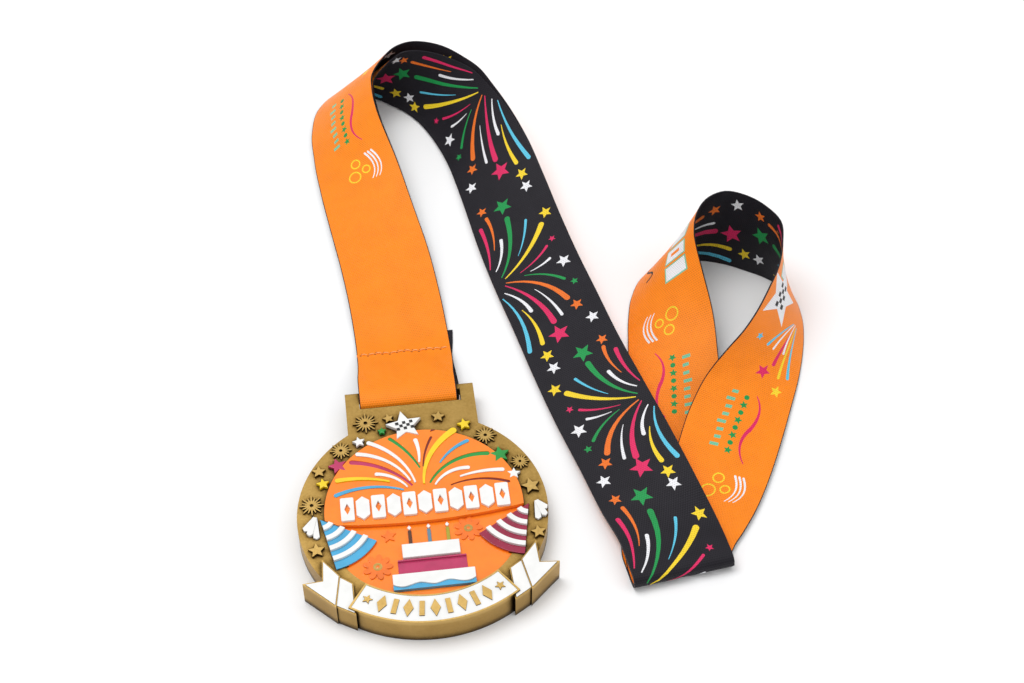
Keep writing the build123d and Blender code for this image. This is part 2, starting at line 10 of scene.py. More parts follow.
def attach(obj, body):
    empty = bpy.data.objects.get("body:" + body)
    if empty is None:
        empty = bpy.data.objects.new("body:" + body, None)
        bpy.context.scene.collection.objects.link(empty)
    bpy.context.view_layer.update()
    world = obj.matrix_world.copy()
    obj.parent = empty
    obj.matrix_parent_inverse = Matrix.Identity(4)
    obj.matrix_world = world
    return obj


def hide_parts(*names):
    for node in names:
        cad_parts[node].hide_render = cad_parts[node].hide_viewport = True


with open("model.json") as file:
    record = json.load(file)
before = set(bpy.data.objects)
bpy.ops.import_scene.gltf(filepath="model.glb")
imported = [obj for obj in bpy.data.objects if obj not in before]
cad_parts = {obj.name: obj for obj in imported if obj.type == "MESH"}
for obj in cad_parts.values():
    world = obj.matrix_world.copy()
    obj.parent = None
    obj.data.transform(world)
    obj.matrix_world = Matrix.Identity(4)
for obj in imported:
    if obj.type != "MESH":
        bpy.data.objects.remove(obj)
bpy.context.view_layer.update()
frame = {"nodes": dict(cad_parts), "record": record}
nodes = frame["nodes"]
MM = 0.001

# ------------------------------------------------------------------ the ribbon's route
# Stations are the edge on the table and the raised edge of the ribbon, in millimetres.
WIDTH = 25.0
THICK = 0.34
LAYER = 0.3  # from the middle of the doubled ribbon to the middle of either layer

rise = [
    ((-12.5, 56.9, 0.9), (12.5, 56.9, 0.9)),
    ((-13.19, 72.9, 0.9), (11.67, 73.6, 2.08)),
    ((-14.58, 88.2, 0.9), (10.07, 89.6, 4.17)),
    ((-16.67, 104.9, 0.9), (7.29, 106.2, 6.25)),
    ((-18.4, 120.1, 0.9), (4.17, 121.5, 10.42)),
    ((-19.44, 134.7, 0.9), (0.0, 137.5, 15.97)),
    ((-19.44, 146.5, 0.9), (-0.69, 145.8, 17.36)),
]
top_bend = [
    ((-17.01, 156.9, 0.8), (0.0, 151.4, 18.06)),
    ((-11.81, 163.2, 0.6), (2.78, 154.9, 19.79)),
    ((-6.25, 164.6, 0.45), (6.25, 157.6, 21.5)),
    ((-0.49, 161.8, 0.4), (10.42, 158.3, 22.9)),
    ((4.86, 157.6, 0.4), (15.28, 157.6, 23.3)),
    ((9.72, 152.8, 0.4), (21.5, 154.9, 22.9)),
    ((12.85, 147.9, 0.4), (26.4, 152.1, 21.2)),
    ((15.28, 142.4, 0.45), (30.6, 147.9, 20.1)),
    ((17.36, 136.1, 0.55), (34.0, 142.4, 18.06)),
    ((19.1, 129.2, 0.7), (37.5, 135.4, 15.97)),
    ((20.8, 118.8, 0.8), (41.7, 124.3, 12.85)),
]
diagonal = [
    ((22.4, 106.2, 0.9), (44.8, 111.1, 10.07)),
    ((24.0, 93.1, 0.9), (47.2, 97.2, 8.68)),
    ((26.7, 76.4, 0.9), (50.0, 80.6, 8.33)),
    ((29.9, 60.4, 0.9), (53.1, 64.6, 8.33)),
    ((33.0, 43.8, 0.9), (56.2, 48.6, 8.33)),
    ((36.5, 27.1, 0.97), (60.1, 31.9, 8.33)),
    ((40.3, 11.11, 1.67), (63.9, 15.97, 8.33)),
    ((43.4, -3.47, 2.92), (67.4, 1.39, 7.29)),
    ((46.5, -15.28, 3.89), (71.2, -12.01, 3.89)),
]
right_strand = [
    ((74.0, -16.8, 1.08), (47.4, -16.6, 1.08)),
    ((77.0, -13.0, 1.1), (50.9, -9.2, 1.3)),
    ((81.0, -7.6, 1.11), (56.8, -1.6, 1.81)),
    ((86.8, 2.08, 1.11), (64.6, 11.81, 4.17)),
    ((92.4, 13.19, 1.11), (70.1, 22.9, 6.25)),
    ((97.2, 23.6, 0.8), (75.7, 30.6, 9.72)),
    ((102.1, 34.7, 0.55), (81.9, 35.4, 13.89)),
    ((104.9, 42.4, 0.35), (86.8, 38.9, 16.67)),
    ((106.9, 49.3, 0.22), (91.0, 43.1, 19.1)),
]
neck_back = [
    ((108.0, 56.2, 0.18), (95.5, 49.3, 21.2)),
    ((107.6, 63.2, 0.18), (99.3, 55.6, 22.6)),
    ((105.2, 68.1, 0.18), (101.4, 61.8, 24.0)),
    ((101.7, 71.9, 0.18), (102.4, 68.1, 25.0)),
    ((96.9, 75.3, 0.18), (99.3, 75.0, 25.3)),
    ((91.0, 78.8, 0.18), (94.4, 79.9, 25.3)),
    ((84.7, 80.9, 0.18), (89.6, 81.6, 25.3)),
    ((78.5, 81.2, 0.18), (84.4, 79.5, 25.0)),
    ((72.2, 79.5, 0.18), (81.2, 75.7, 23.6)),
    ((67.0, 75.3, 0.18), (79.9, 71.5, 21.5)),
    ((63.5, 68.8, 0.18), (79.9, 67.4, 19.44)),
    ((61.5, 61.8, 0.18), (80.6, 61.8, 16.32)),
]
left_strand = [
    ((59.7, 52.1, 0.24), (81.9, 52.1, 10.42)),
    ((58.0, 41.7, 0.3), (81.2, 39.6, 6.25)),
    ((55.6, 29.2, 0.42), (79.9, 27.1, 2.78)),
    ((52.4, 12.5, 0.42), (77.1, 11.81, 0.83)),
    ((49.3, -3.47, 0.42), (74.3, -2.08, 0.42)),
    ((46.7, -16.67, 0.42), (71.5, -13.4, 0.42)),
]
BAR_Y, BAR_Z, BAR_R, BULGE = 38.45, 4.6, 2.1, 3.85
SEAM_Y = 56.0
FOLD_RADIUS, FOLD_Z, FOLD_REACH = 1.565, 2.325, 8.8
FOLD_AT = np.array((46.5, -15.28, 0.0))
FOLD_ACROSS = np.array((24.7, 3.27, 0.0)) / math.hypot(24.7, 3.27)
FOLD_ON = np.array((FOLD_ACROSS[1], -FOLD_ACROSS[0], 0.0))


def doubled_layer(side):
    """Stations of the upper (+1) or lower (-1) layer between seam and fold, as left and right edges."""
    route = rise + top_bend + diagonal
    edges = np.array(route, float)
    middles = edges.mean(axis=1)
    out = []
    for k, (a, b) in enumerate(edges):
        across = b - a
        across /= np.linalg.norm(across)
        if k == 0:
            along = np.array((0.0, 1.0, 0.0))
        elif k == len(edges) - 1:
            along = FOLD_ON
        else:
            along = middles[k + 1] - middles[k - 1]
        normal = np.cross(across, along)
        normal /= np.linalg.norm(normal)
        fan = 0.0
        if side < 0:
            fan = 2.6 * math.exp(-((k - 11.0) / 4.2) ** 2)
        out.append((a + normal * side * LAYER, b + normal * (side * LAYER - fan) - across * fan * 0.7))
    return out


def flat_station(y, z, x=0.0, skew=0.0):
    """A station straight across the medal's tab."""
    return (np.array((x - WIDTH / 2, y + skew, z)), np.array((x + WIDTH / 2, y - skew, z)))


def fold_side(side):
    """The U turn of one layer at the fold: +1 is the inner layer, -1 the outer."""
    radius = FOLD_RADIUS - side * LAYER
    high, low = FOLD_Z + radius, FOLD_Z - radius
    profile = [(3.0, high), (6.2, high)]
    for angle in (90, 55, 20, -20, -55, -90):
        t = math.radians(angle)
        profile.append((FOLD_REACH + radius * math.cos(t), FOLD_Z + radius * math.sin(t)))
    if side < 0:
        profile += [(5.0, low), (2.4, low)]
    out = []
    for f, z in profile:
        left = FOLD_AT + FOLD_ON * f + np.array((0, 0, z))
        out.append((left, left + FOLD_ACROSS * WIDTH))
    return out


def whole_route():
    """Both edges of the strip from the flap's end round the neck to the seam: first edge, second edge."""
    route = [
        flat_station(63.0, 0.22, 1.2, -0.3),
        flat_station(59.0, 0.2, 0.8),
        flat_station(54.0, 0.22, 0.2),
        flat_station(48.5, 0.3, 0.5),
        flat_station(45.2, 0.75, 0.7),
        flat_station(42.6, 1.75, 0.7),
        flat_station(40.3, 2.45, 0.45),
    ]
    for angle in range(-90, 91, 30):
        t = math.radians(angle)
        aside = -0.4 + 0.8 * max(0, -angle) / 90
        route.append(flat_station(BAR_Y - BULGE * math.cos(t), BAR_Z + BAR_R * math.sin(t), aside))
    route += [
        flat_station(40.6, 6.66, -0.4),
        flat_station(43.4, 6.05, -0.4),
        flat_station(47.5, 4.55, -0.15),
        flat_station(51.5, 3.05),
        flat_station(54.8, 1.85),
    ]
    route += doubled_layer(1)
    route += fold_side(1)
    for a, b in right_strand + neck_back + left_strand:
        route.append((np.array(b), np.array(a)))
    route += [(b, a) for a, b in reversed(fold_side(-1))]
    route += [(b, a) for a, b in reversed(doubled_layer(-1))]
    route.append((np.array((12.5, 54.3, 0.95)), np.array((-12.5, 54.3, 0.95))))
    return np.array([np.concatenate(s) for s in route], float)


def smooth(stations, step=0.25):
    """A smooth curve through the stations, sampled evenly by length: length so far, and the points."""
    middle = (stations[:, :3] + stations[:, 3:]) / 2
    gaps = np.linalg.norm(np.diff(middle, axis=0), axis=1)
    knots = np.concatenate(([0], np.cumsum(gaps)))
    slopes = np.diff(stations, axis=0) / gaps[:, None]
    tangents = np.empty_like(stations)
    tangents[0], tangents[-1] = slopes[0], slopes[-1]
    before, after = gaps[:-1, None], gaps[1:, None]
    tangents[1:-1] = (slopes[:-1] * after + slopes[1:] * before) / (before + after)
    t = np.arange(0, knots[-1], step)
    i = np.clip(np.searchsorted(knots, t, side="right") - 1, 0, len(gaps) - 1)
    h = gaps[i][:, None]
    u = ((t - knots[i]) / gaps[i])[:, None]
    points = (
        (2 * u**3 - 3 * u**2 + 1) * stations[i]
        + (u**3 - 2 * u**2 + u) * h * tangents[i]
        + (-2 * u**3 + 3 * u**2) * stations[i + 1]
        + (u**3 - u**2) * h * tangents[i + 1]
    )
    middle = (points[:, :3] + points[:, 3:]) / 2
    length = np.concatenate(([0], np.cumsum(np.linalg.norm(np.diff(middle, axis=0), axis=1))))
    return length, points


LENGTH_AT, EDGES_AT = smooth(whole_route())
STRIP = LENGTH_AT[-1]
FRONT = slice(140, 320)  # samples of the front layer as it climbs from the bar past the seam
SEAM_S = float(np.interp(SEAM_Y, EDGES_AT[FRONT, 1], LENGTH_AT[FRONT]))


def on_strip(s, v):
    """Points and unit normals of the strip's middle surface, at length s and v from its first edge."""
    s, v = np.asarray(s, float), np.asarray(v, float)

    def edges(at):
        return np.stack([np.interp(at, LENGTH_AT, EDGES_AT[:, c]) for c in range(6)], axis=-1)

    share = (v / WIDTH)[..., None]

    def at(where):
        e = edges(where)
        return e[..., :3] * (1 - share) + e[..., 3:] * share

    here = edges(s)
    across = here[..., 3:] - here[..., :3]
    along = at(np.minimum(s + 0.6, STRIP)) - at(np.maximum(s - 0.6, 0))
    normal = np.cross(across, along)
    normal /= np.linalg.norm(normal, axis=-1, keepdims=True)
    return at(s), normal


# ------------------------------------------------------------------ materials
def linear(r, g, b):
    """A colour from 0-255 display values."""
    out = []
    for c in (r, g, b):
        c /= 255
        out.append(c / 12.92 if c <= 0.04045 else ((c + 0.055) / 1.055) ** 2.4)
    return (*out, 1.0)


class Nodes:
    """A short way to write a node material."""

    def __init__(self, name):
        self.material = bpy.data.materials.new(name)
        self.material.use_nodes = True
        self.tree = self.material.node_tree
        self.tree.nodes.clear()
        self.output = self.add("ShaderNodeOutputMaterial")
        self.shader = self.add("ShaderNodeBsdfPrincipled")
        self.link(self.shader.outputs["BSDF"], self.output.inputs["Surface"])

    def add(self, kind, **values):
        node = self.tree.nodes.new(kind)
        for key, value in values.items():
            setattr(node, key, value)
        return node

    def link(self, a, b):
        self.tree.links.new(a, b)

    def math(self, operation, a, b=None):
        node = self.add("ShaderNodeMath", operation=operation)
        for socket, value in zip(node.inputs, (a, b)):
            if value is None:
                continue
            if isinstance(value, (int, float)):
                socket.default_value = value
            else:
                self.link(value, socket)
        return node.outputs[0]

    def noise(self, vector, scale, detail=3.0, roughness=0.55):
        node = self.add("ShaderNodeTexNoise")
        node.inputs["Scale"].default_value = scale
        node.inputs["Detail"].default_value = detail
        node.inputs["Roughness"].default_value = roughness
        self.link(vector, node.inputs["Vector"])
        return node.outputs["Fac"]

    def ramp(self, factor, stops):
        node = self.add("ShaderNodeValToRGB")
        elements = node.color_ramp.elements
        while len(elements) < len(stops):
            elements.new(0.5)
        for element, (place, colour) in zip(elements, stops):
            element.position = place
            element.color = colour
        self.link(factor, node.inputs["Fac"])
        return node.outputs["Color"]

    def spread(self, factor, low, high, to_low, to_high):
        node = self.add("ShaderNodeMapRange")
        node.inputs["From Min"].default_value = low
        node.inputs["From Max"].default_value = high
        node.inputs["To Min"].default_value = to_low
        node.inputs["To Max"].default_value = to_high
        self.link(factor, node.inputs["Value"])
        return node.outputs["Result"]

    def bump(self, height, distance, strength=1.0):
        node = self.add("ShaderNodeBump")
        node.inputs["Strength"].default_value = strength
        node.inputs["Distance"].default_value = distance
        self.link(height, node.inputs["Height"])
        self.link(node.outputs["Normal"], self.shader.inputs["Normal"])

    def set(self, **values):
        for name, value in values.items():
            self.shader.inputs[name.replace("_", " ")].default_value = value


def shade(colour, k):
    return (*(min(1.0, c * k) for c in colour[:3]), 1.0)


RIB_PITCH, THREAD_PITCH = 0.56, 0.62


def woven(name, colour, dark=0.76, roughness=0.42, sheen=0.04, specular=0.24):
    """Satin-woven polyester: fine ribs across the ribbon and dots where the threads cross."""
    n = Nodes(name)
    uv = n.add("ShaderNodeUVMap", uv_map="strip").outputs["UV"]
    split = n.add("ShaderNodeSeparateXYZ")
    n.link(uv, split.inputs[0])
    along, across = split.outputs["X"], split.outputs["Y"]
    rib = n.math("SINE", n.math("MULTIPLY", along, 2 * math.pi / RIB_PITCH))
    row = n.math("FLOOR", n.math("DIVIDE", along, RIB_PITCH))
    shift = n.math("MULTIPLY", n.math("MODULO", row, 2.0), math.pi)
    turns = n.math("MULTIPLY", across, 2 * math.pi / THREAD_PITCH)
    thread = n.math("SINE", n.math("ADD", turns, shift))
    weave = n.math("ADD", n.math("MULTIPLY", rib, 0.5), n.math("MULTIPLY", thread, 0.5))
    weave = n.math("ADD", n.math("MULTIPLY", weave, 0.5), 0.5)
    cloud = n.noise(uv, 0.16, 4.0)
    fuzz = n.noise(uv, 5.0, 2.0)
    tone = n.math("ADD", n.math("MULTIPLY", weave, 0.55), n.math("MULTIPLY", cloud, 0.45))
    tone = n.math("ADD", tone, n.math("MULTIPLY", n.math("SUBTRACT", fuzz, 0.5), 0.3))
    n.link(
        n.ramp(tone, [(0.2, shade(colour, dark * 0.92)), (0.52, colour), (0.85, shade(colour, 1.1))]),
        n.shader.inputs["Base Color"],
    )
    n.link(n.spread(weave, 0, 1, roughness + 0.12, roughness - 0.06), n.shader.inputs["Roughness"])
    crease = n.noise(uv, 0.05, 3.0, 0.5)
    height = n.math("ADD", weave, n.math("MULTIPLY", fuzz, 0.35))
    height = n.math("ADD", height, n.math("MULTIPLY", crease, 9.0))
    n.bump(height, 0.0001, 0.7)
    n.set(Specular_IOR_Level=specular, Sheen_Weight=sheen, Sheen_Roughness=0.4)
    return n.material


def enamel(name, colour, dark=0.86, roughness=0.18, coat=0.6):
    """Soft enamel: gloss with a faint pool of deeper colour, specks and a slightly wavy skin."""
    n = Nodes(name)
    place = n.add("ShaderNodeTexCoord").outputs["Object"]
    pool = n.noise(place, 260.0, 2.0)
    speck = n.noise(place, 2600.0, 3.0, 0.7)
    tone = n.math("ADD", n.math("MULTIPLY", pool, 0.93), n.math("MULTIPLY", speck, 0.07))
    n.link(
        n.ramp(tone, [(0.3, shade(colour, dark)), (0.55, colour), (0.75, shade(colour, 1.05))]),
        n.shader.inputs["Base Color"],
    )
    n.link(n.spread(speck, 0.3, 0.7, roughness, roughness + 0.08), n.shader.inputs["Roughness"])
    n.bump(n.math("ADD", pool, n.math("MULTIPLY", speck, 0.025)), 0.00014, 0.3)
    n.set(Specular_IOR_Level=0.5, Coat_Weight=coat, Coat_Roughness=0.06)
    return n.material


PICTURE_X, PICTURE_Y, PICTURE_RADIUS = 0.0004, 0.00035, 0.0241


def painted_walls(n, place):
    """1 on the steep faces inside the round picture, where the orange enamel runs over the casting."""
    facing = n.add("ShaderNodeSeparateXYZ")
    n.link(n.add("ShaderNodeTexCoord").outputs["Normal"], facing.inputs[0])
    steep = n.math("LESS_THAN", facing.outputs["Z"], 0.75)
    east = n.math("SUBTRACT", place.outputs["X"], PICTURE_X)
    north = n.math("SUBTRACT", place.outputs["Y"], PICTURE_Y)
    square = n.math("ADD", n.math("MULTIPLY", east, east), n.math("MULTIPLY", north, north))
    inside = n.math("LESS_THAN", square, PICTURE_RADIUS**2)
    return n.math("MULTIPLY", steep, inside)


def antique_gold(name):
    """Antique plating: satin old gold, brown patina in hollows and low places, brushed highs."""
    n = Nodes(name)
    place = n.add("ShaderNodeTexCoord").outputs["Object"]
    split = n.add("ShaderNodeSeparateXYZ")
    n.link(place, split.inputs[0])
    height = n.spread(split.outputs["Z"], 0.0058, 0.0067, 0.0, 1.0)
    hollow = n.add("ShaderNodeAmbientOcclusion", samples=8)
    hollow.inputs["Distance"].default_value = 0.0022
    cloud = n.noise(place, 130.0, 4.0, 0.6)
    grain = n.noise(place, 1500.0, 3.0, 0.65)
    open_to_air = n.spread(hollow.outputs["AO"], 0.4, 1.0, 0.0, 1.0)
    tone = n.math("MULTIPLY", open_to_air, n.math("ADD", 0.66, n.math("MULTIPLY", height, 0.22)))
    tone = n.math("ADD", tone, n.math("MULTIPLY", n.math("SUBTRACT", cloud, 0.5), 0.3))
    tone = n.math("ADD", tone, n.math("MULTIPLY", n.math("SUBTRACT", grain, 0.5), 0.25))
    plating = n.ramp(tone, [
        (0.05, linear(46, 32, 12)),
        (0.35, linear(100, 76, 32)),
        (0.62, linear(164, 130, 66)),
        (0.95, linear(200, 166, 98)),
    ])
    walls = painted_walls(n, split)
    paint = n.add("ShaderNodeMix", data_type="RGBA")
    n.link(walls, paint.inputs["Factor"])
    n.link(plating, paint.inputs["A"])
    paint.inputs["B"].default_value = linear(240, 112, 20)
    n.link(paint.outputs["Result"], n.shader.inputs["Base Color"])
    n.link(n.spread(walls, 0, 1, 0.85, 0.0), n.shader.inputs["Metallic"])
    n.link(n.spread(grain, 0.25, 0.75, 0.3, 0.5), n.shader.inputs["Roughness"])
    n.bump(n.math("ADD", grain, n.math("MULTIPLY", cloud, 0.6)), 0.00005, 0.5)
    return n.material


# ------------------------------------------------------------------ the ribbon's prints
INK = {
    "orange_ground": linear(255, 137, 18),
    # a darker orange for the painted shadows beside the seam's stitches
    "stitch_shadow": linear(176, 78, 12),
    "black_ground": linear(36, 34, 40),
    "white": linear(238, 238, 242),
    "pink": linear(222, 38, 98),
    "green": linear(26, 150, 76),
    "blue": linear(92, 196, 226),
    "yellow": linear(246, 212, 44),
    "amber": linear(238, 116, 36),
    "teal": linear(118, 196, 160),
}
EDGE = 0.4


def clip(points):
    """The part of a polygon that lies inside the ribbon's printed width."""
    for limit, sign in ((EDGE, 1), (WIDTH - EDGE, -1)):
        kept = []
        for (s0, v0), (s1, v1) in zip(points, points[1:] + points[:1]):
            in0, in1 = sign * (v0 - limit) >= 0, sign * (v1 - limit) >= 0
            if in0:
                kept.append((s0, v0))
            if in0 != in1:
                t = (limit - v0) / (v1 - v0)
                kept.append((s0 + t * (s1 - s0), limit))
        points = kept
        if len(points) < 3:
            return []
    return points


class Print:
    """The printed shapes of one face of the ribbon, each a polygon and an ink."""

    def __init__(self):
        self.shapes = []

    def shape(self, ink, points):
        points = clip([(float(s), float(v)) for s, v in points])
        if len(points) < 3:
            return
        area = sum(a[0] * b[1] - b[0] * a[1] for a, b in zip(points, points[1:] + points[:1]))
        self.shapes.append((ink, points if area > 0 else points[::-1]))

    def star(self, ink, s, v, radius, turn=0.0):
        points = []
        for k in range(10):
            reach = radius if k % 2 == 0 else radius * 0.45
            angle = math.radians(turn + 36 * k)
            points.append((s + reach * math.cos(angle), v + reach * math.sin(angle)))
        self.shape(ink, points)

    def disc(self, ink, s, v, radius, count=14):
        turns = [2 * math.pi * k / count for k in range(count)]
        self.shape(ink, [(s + radius * math.cos(t), v + radius * math.sin(t)) for t in turns])

    def stroke(self, ink, route, start, end):
        """A curved stroke through three points, its width going from start to end, with a round tip."""
        a, m, b = (np.array(p, float) for p in route)
        bend = 2 * m - (a + b) / 2
        left, right = [], []
        steps = 9
        for k in range(steps):
            t = k / (steps - 1)
            p = (1 - t) ** 2 * a + 2 * t * (1 - t) * bend + t * t * b
            d = 2 * (1 - t) * (bend - a) + 2 * t * (b - bend)
            d /= np.linalg.norm(d)
            half = (start + (end - start) * t) / 2
            side = np.array((-d[1], d[0])) * half
            left.append(p + side)
            right.append(p - side)
        tip = []
        for k in range(1, 6):
            t = math.pi / 2 - k * math.pi / 6
            sideways = np.array((-d[1], d[0])) * (end / 2) * math.sin(t)
            tip.append(b + d * (end / 2) * math.cos(t) + sideways)
        self.shape(ink, left + tip + right[::-1])


# One half burst: strokes as ink, three points (along, in from the edge), root width, tip width;
# and stars as ink, along, in from the edge, radius, turn.
BURST_STROKES = [
    ("pink", (5.5, 0.9), (13.0, 2.4), (21.0, 2.4), 0.3, 1.2),
    ("amber", (11.5, 4.0), (18.0, 5.3), (24.0, 5.0), 0.2, 1.1),
    ("white", (4.0, 2.2), (8.5, 5.2), (14.0, 6.8), 0.3, 1.0),
    ("green", (1.2, 3.0), (9.5, 8.2), (20.5, 10.6), 0.3, 1.6),
    ("blue", (6.0, 9.6), (11.0, 12.8), (17.0, 15.4), 0.15, 0.8),
    ("yellow", (0.3, 3.8), (5.6, 12.0), (13.2, 19.0), 0.3, 1.6),
    ("pink", (0.0, 8.2), (2.0, 13.6), (5.0, 18.0), 0.15, 0.8),
    ("white", (-1.0, 11.0), (-0.6, 14.4), (0.4, 17.4), 0.15, 0.8),
    ("green", (-1.5, 9.0), (-4.2, 14.4), (-8.4, 18.6), 0.2, 0.9),
    ("amber", (-1.2, 3.5), (-6.4, 12.0), (-15.0, 17.0), 0.3, 1.6),
    ("white", (-7.5, 10.0), (-13.0, 12.4), (-19.5, 13.8), 0.15, 0.9),
    ("pink", (-2.0, 3.0), (-10.6, 8.6), (-20.6, 11.0), 0.3, 1.7),
    ("white", (-4.4, 2.0), (-9.0, 5.2), (-14.0, 6.6), 0.3, 1.1),
    ("blue", (-6.0, 0.9), (-15.5, 3.0), (-26.5, 1.8), 0.3, 1.3),
    ("yellow", (-12.4, 4.4), (-18.8, 6.0), (-25.8, 5.8), 0.2, 1.3),
]
BURST_STARS = [
    ("amber", 27.2, 4.4, 1.7, 8), ("green", 25.4, 10.6, 2.9, 20), ("yellow", 16.6, 21.4, 2.0, 5),
    ("pink", 6.8, 20.2, 1.1, 15), ("white", -2.4, 20.6, 2.2, 12), ("green", -10.6, 20.8, 1.2, 0),
    ("amber", -18.4, 18.6, 1.9, 10), ("pink", -25.2, 11.0, 3.1, 6), ("yellow", -30.2, 5.6, 2.0, 14),
    ("white", -24.6, 21.0, 2.0, 3), ("white", -34.8, 5.8, 2.0, 18),
]


def half_burst(sheet, centre, from_first_edge, reach=1.0):
    """A burst centred on one edge of the ribbon, drawn out along it by reach."""

    def place(point):
        inward = point[1]
        return (centre + point[0] * reach, inward if from_first_edge else WIDTH - inward)

    for ink, a, m, b, start, end in BURST_STROKES:
        sheet.stroke(ink, (place(a), place(m), place(b)), start, end)
    for ink, along, inward, radius, turn in BURST_STARS:
        s, v = place((along, inward))
        sheet.star(ink, s, v, radius, turn)


def black_print():
    sheet = Print()
    for centre, first, reach in (
        (52, True, 1), (110, False, 1), (168, True, 1), (226, False, 1), (284, True, 1), (341, False, 1),
        (399, True, 1), (455, True, 1), (514, False, 1), (553, True, 0.8), (612, False, 1),
        (665.4, True, 0.8), (720.2, False, 1), (782, True, 0.97), (836, False, 1), (893, True, 1),
    ):
        half_burst(sheet, centre, first, reach)
    return sheet


def party_group(sheet, centre):
    """Two rows of confetti, a pink streamer beside them, and a cluster of rings and curls."""
    for k in range(8):
        s = centre - 8.4 + 2.4 * k
        tall = 1.7 if k % 3 else 2.3
        foot, head = 9.9, 9.9 - tall
        sheet.shape("teal", [(s - 0.55, head), (s + 0.45, head), (s + 0.75, foot), (s - 0.25, foot)])
        if k % 2:
            sheet.disc("green", s - 0.4, 12.6, 0.75, 10)
        else:
            sheet.star("green", s - 0.4, 12.6, 1.25, 20 * k)
    sheet.stroke("pink", ((centre - 11.5, 17.4), (centre - 6.5, 15.2), (centre - 1.0, 16.2)), 0.25, 1.0)
    sheet.stroke("pink", ((centre + 9.5, 15.0), (centre + 5.0, 17.2), (centre - 1.2, 16.2)), 0.25, 1.0)
    for along, across, radius in ((-21.8, 11.4, 2.0), (-17.6, 12.8, 1.6), (-20.6, 15.4, 1.4)):
        sheet.disc("yellow", centre + along, across, radius)
        sheet.disc("orange_ground", centre + along, across, radius - 0.42)
    for k in range(3):
        across = 16.4 + 1.1 * k
        sheet.stroke(
            "white",
            ((centre - 24.4, across), (centre - 20.5, across + 1.6), (centre - 15.8, across + 0.2)),
            0.25, 0.6,
        )


# How far each stitch of the seam stands off a straight line, and the stitches' pitch.
UNEVEN = (0.1, -0.25, 0.3, 0.0, -0.35, 0.15, 0.4, -0.1, -0.3, 0.25, 0.05, -0.2)
STITCH_PITCH = 1.93


def orange_print():
    sheet = Print()
    for k, off in enumerate(UNEVEN):
        # Dark orange discs beside each stitch: painted shadow of the raised stitch threads.
        sheet.disc("stitch_shadow", SEAM_S + off - 0.45, 1.0 + k * STITCH_PITCH, 0.34, 9)
        sheet.disc("stitch_shadow", SEAM_S + off + 0.5, 1.3 + k * STITCH_PITCH, 0.22, 8)
    for centre in (140.5, 281.0, 418.0, 552.0, 692.0, 830.0):
        party_group(sheet, centre)
    for middle in (491.5, 226.0, 760.0):
        for k in range(11):
            s = middle - 29 + 5.4 * k
            sheet.shape("teal", [(s, 4.2), (s + 4.7, 4.2), (s + 4.7, 12.0), (s, 12.0)])
            sheet.shape("white", [(s + 0.4, 4.6), (s + 4.3, 4.6), (s + 4.3, 11.6), (s + 0.4, 11.6)])
            if k % 2:
                sheet.shape("orange_ground", [(s + 1.8, 6.4), (s + 2.9, 6.4), (s + 2.9, 9.8), (s + 1.8, 9.8)])
        for k in range(15):
            s = middle - 20.5 + 3.0 * k
            up = 1.8 if k % 2 else -1.8
            sheet.stroke("black_ground", ((s, 19.2), (s + 1.5, 19.2 + up), (s + 3.0, 19.2)), 0.55, 0.55)
    for centre in (458.0, 184.0, 718.0):
        sheet.star("white", centre, 8.6, 9.6, 8)
        for row in range(3):
            for column in range(5):
                if (row + column) % 2 == 0:
                    s, v = centre + (column - 2) * 1.5, 8.6 + (row - 1) * 1.5
                    half = 0.72
                    corners = ((-half, -half), (half, -half), (half, half), (-half, half))
                    sheet.shape("black_ground", [(s + ds, v + dv) for ds, dv in corners])
        for ink, end, width in (
            ("blue", (-8.0, 10.6), 0.9), ("white", (-8.6, 13.2), 0.7), ("pink", (-13.0, 15.6), 1.2),
            ("white", (-8.8, 17.4), 0.8), ("yellow", (-16.2, 18.6), 0.9), ("blue", (-15.4, 21.4), 1.0),
        ):
            root = (centre - 4.5 + end[0] * 0.12, 20.4 + (end[1] - 20.4) * 0.16)
            tip = (centre - 7.0 + end[0], end[1])
            middle = ((root[0] + tip[0]) / 2, (root[1] + tip[1]) / 2 - 0.9)
            sheet.stroke(ink, (root, middle, tip), 0.25, width)
        sheet.star("blue", centre - 13.6, 6.4, 1.3, 10)
        sheet.star("pink", centre - 23.0, 13.4, 2.3, 16)
        sheet.star("yellow", centre - 27.2, 19.4, 1.8, 4)
    return sheet


# ------------------------------------------------------------------ the ribbon's mesh
def grid_points():
    """Points of the flat strip: its boundary, in order round it, then the inner ones."""
    columns = int(round(STRIP / 1.3))
    along = np.linspace(0, STRIP, columns + 1)
    rows = np.linspace(0, WIDTH, 10)
    rim = [(s, 0.0) for s in along]
    rim += [(STRIP, v) for v in rows[1:-1]]
    rim += [(s, WIDTH) for s in along[::-1]]
    rim += [(0.0, v) for v in rows[-2:0:-1]]
    inner = []
    for s in along[1:-1]:
        inner += [(s, v) for v in rows[1:-1]]
        inner += [(s, 0.2), (s, WIDTH - 0.2)]
    return rim, inner


def cut_sheet(printed, rim, inner):
    """The flat strip as triangles that follow every printed outline, with an ink for each triangle."""
    points = [Vector(p) for p in rim + inner]
    faces = [list(range(len(rim)))]
    inks = [None]
    for ink, outline in printed.shapes:
        outline = [(min(max(s, 0.3), STRIP - 0.3), v) for s, v in outline]
        start = len(points)
        points += [Vector(p) for p in outline]
        faces.append(list(range(start, len(points))))
        inks.append(ink)
    found, _, triangles, from_point, _, from_face = delaunay_2d_cdt(points, [], faces, 1, 1e-5)
    where = {}
    for k, sources in enumerate(from_point):
        for source in sources:
            if source < len(rim):
                where[source] = k
    chosen = []
    for sources in from_face:
        top = max(sources) if sources else 0
        chosen.append(inks[top])
    return np.array([tuple(p) for p in found]), triangles, chosen, [where[k] for k in range(len(rim))]


